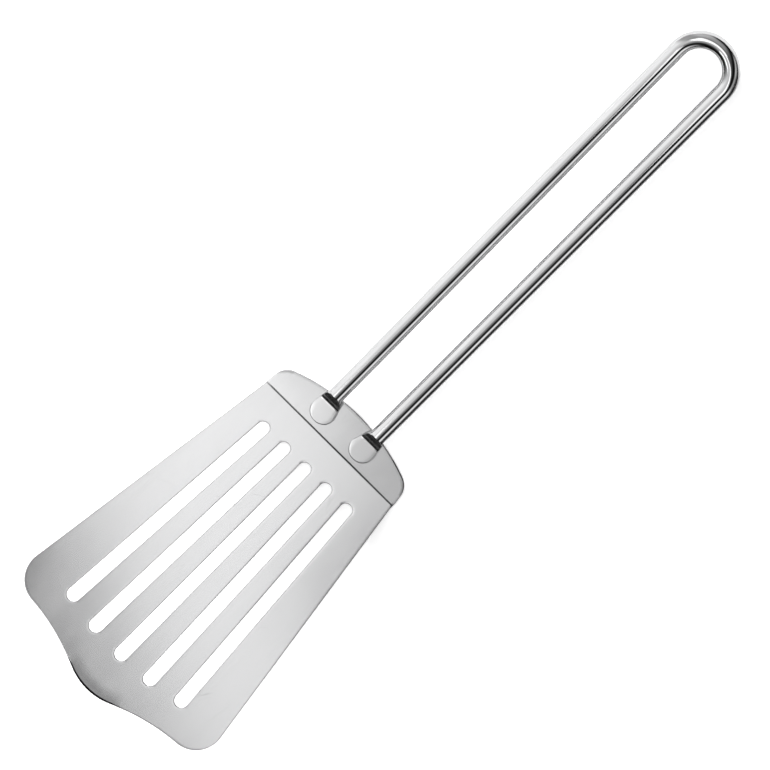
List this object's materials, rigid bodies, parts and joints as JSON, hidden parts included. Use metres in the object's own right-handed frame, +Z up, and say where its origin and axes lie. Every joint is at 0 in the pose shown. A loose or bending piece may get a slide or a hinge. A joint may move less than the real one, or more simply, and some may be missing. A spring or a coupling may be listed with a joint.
{
  "type": "fish spatula",
  "caption": "Slotted steel turner for fish: a fan-shaped blade with long slots and a ground nose, bent at the heel and spot-welded to a round-wire hairpin handle with a hanging loop.",
  "frame": {"origin": "centre of the bounding box at floor level, with the part lying at rest top side up", "axes": "+X along the handle from the blade to the hanging loop, +Y across the blade to the right-hand side of someone who holds the handle and looks along it at the blade, +Z up from the surface that the part lies on"},
  "size_m": [0.3189, 0.0924, 0.0431],
  "materials": {
    "satin_sheet": "satin-brushed stainless sheet",
    "polished_wire": "polished solid stainless wire, not plated",
    "weld_metal": "bare weld metal, ground flush"
  },
  "bodies": {
    "root": {"blade": "satin_sheet", "wire_handle": "polished_wire", "spot_welds": "weld_metal"}
  },
  "joints": []
}
